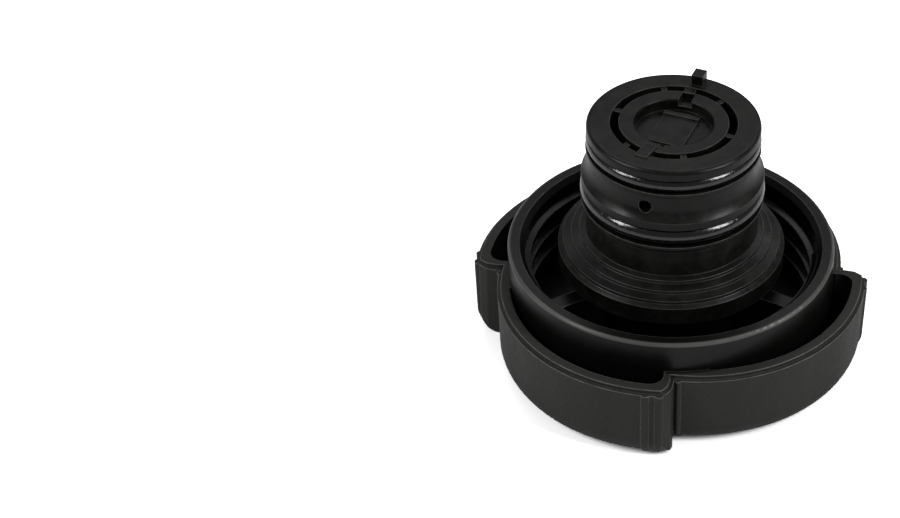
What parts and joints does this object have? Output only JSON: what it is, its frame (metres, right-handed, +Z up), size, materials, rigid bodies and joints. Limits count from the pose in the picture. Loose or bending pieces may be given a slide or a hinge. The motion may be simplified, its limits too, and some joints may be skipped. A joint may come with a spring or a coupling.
{
  "type": "coolant reservoir cap",
  "caption": "Screw cap for a pressurised coolant reservoir, with a ribbed scroll-shaped grip, a threaded collar and a sealed stem that holds a relief valve.",
  "frame": {"origin": "centre of the stem's axis on the flat outer face that the cap lies on", "axes": "+Z up along the stem, from the flat outer face to the slotted end; -Y is the side towards the viewer"},
  "size_m": [0.0712, 0.0712, 0.0492],
  "materials": {
    "shell_plastic": "fine textured charcoal black moulding",
    "stem_plastic": "smooth semi-gloss black moulding",
    "seal_rubber": "oiled glossy black rubber",
    "washer_plastic": "natural slippery plastic",
    "valve_plastic": "smooth dark moulding",
    "spring_steel": "bare stainless steel"
  },
  "bodies": {
    "shell": {"cap_shell": "shell_plastic", "slip_washer": "washer_plastic", "retaining_ring": "spring_steel"},
    "stem": {"valve_housing": "stem_plastic", "valve_cage": "stem_plastic", "upper_o_ring": "seal_rubber", "lower_o_ring": "seal_rubber", "valve_seat": "stem_plastic", "pressure_spring": "spring_steel", "spring_seat": "spring_steel"},
    "piston": {"pressure_piston": "valve_plastic", "pressure_seal": "seal_rubber", "vacuum_spring": "spring_steel"},
    "vacuum": {"vacuum_valve": "valve_plastic", "vacuum_seal": "seal_rubber", "vacuum_retainer": "spring_steel"}
  },
  "joints": [
    {"name": "housing_spin", "type": "hinge", "parent": "shell", "child": "stem", "pos_m": [0, 0, 0.0184], "axis": [0, 0, 1], "continuous": true},
    {"name": "pressure_valve_lift", "type": "slide", "parent": "stem", "child": "piston", "axis": [0, 0, -1], "range_m": [0, 0.002], "stiffness_N_per_m": 9000, "springref_m": -0.005, "deforming": ["pressure_spring"]},
    {"name": "vacuum_valve_lift", "type": "slide", "parent": "piston", "child": "vacuum", "axis": [0, 0, 1], "range_m": [0, 0.0012], "stiffness_N_per_m": 150, "springref_m": -0.003, "deforming": ["vacuum_spring"]}
  ]
}
